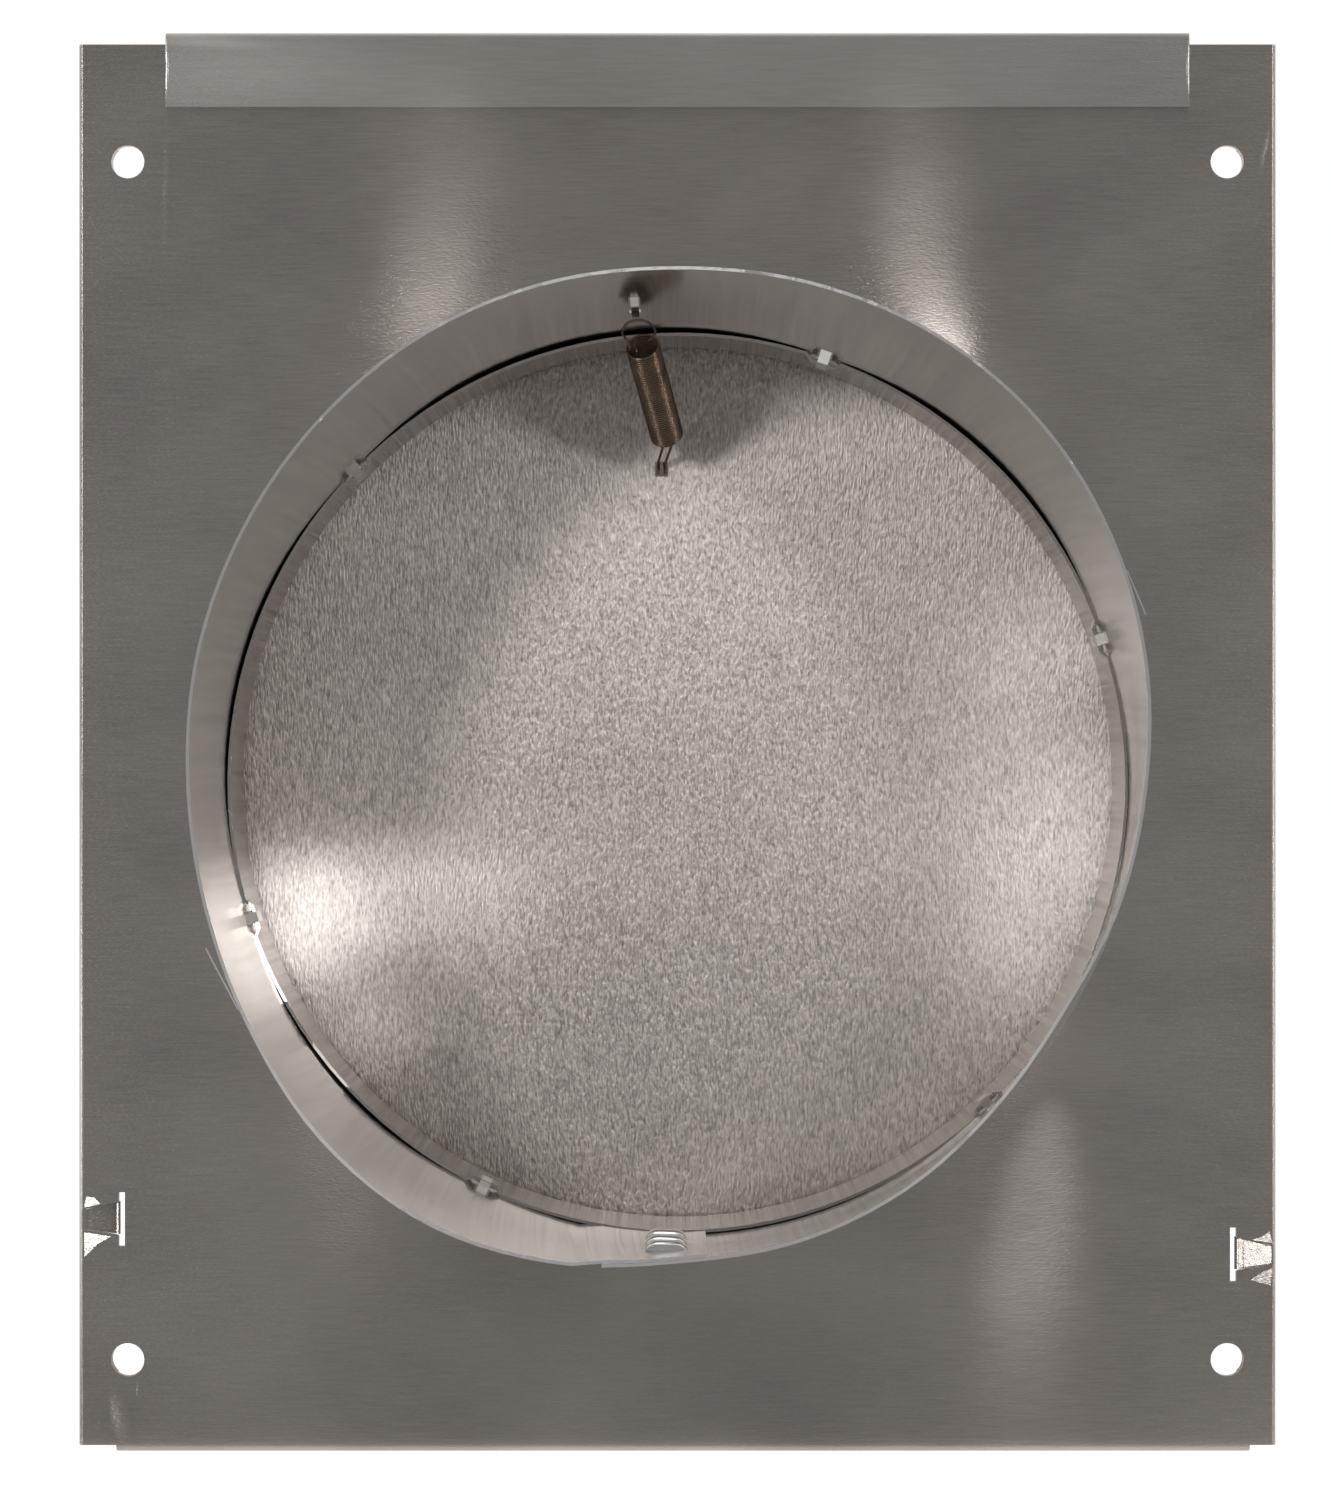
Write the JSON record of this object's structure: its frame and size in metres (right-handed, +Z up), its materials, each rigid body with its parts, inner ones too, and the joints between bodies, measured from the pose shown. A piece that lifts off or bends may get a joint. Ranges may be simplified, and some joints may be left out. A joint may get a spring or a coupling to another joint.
{
  "type": "wall vent cap",
  "caption": "Folded aluminium wall vent cap: back plate with a rolled duct collar, sloping hood open at the bottom over a wire bird screen, and a sprung round backdraft damper flap.",
  "frame": {"origin": "on the duct collar's axis, in the back plate's wall face", "axes": "+Z up, +Y outdoors away from the wall, +X to the right for someone who looks at the wall face"},
  "size_m": [0.2032, 0.1715, 0.2408],
  "materials": {
    "plate_aluminium": "mill finish sheet with a horizontal grain",
    "hood_aluminium": "mill finish sheet",
    "collar_aluminium": "smooth rolled strip",
    "flap_aluminium": "mill finish sheet with a vertical grain",
    "zinc_rod": "zinc plated wire rod",
    "spring_wire": "bronze toned spring wire",
    "zinc_screen": "galvanised welded wire"
  },
  "bodies": {
    "vent_body": {"back_plate": "plate_aluminium", "hood_front": "hood_aluminium", "hood_cheek_left": "hood_aluminium", "hood_cheek_right": "hood_aluminium", "duct_collar": "collar_aluminium", "hinge_rod": "zinc_rod", "return_spring": "spring_wire", "bird_screen": "zinc_screen"},
    "damper": {"damper_flap": "flap_aluminium"}
  },
  "joints": [
    {"name": "damper_hinge", "type": "hinge", "parent": "vent_body", "child": "damper", "pos_m": [0, 0.00226, 0.08], "axis": [1, 0, 0], "range_deg": [0, 36], "stiffness_Nm_per_rad": 0.006, "springref_deg": -45.84, "deforming": ["return_spring"]}
  ]
}
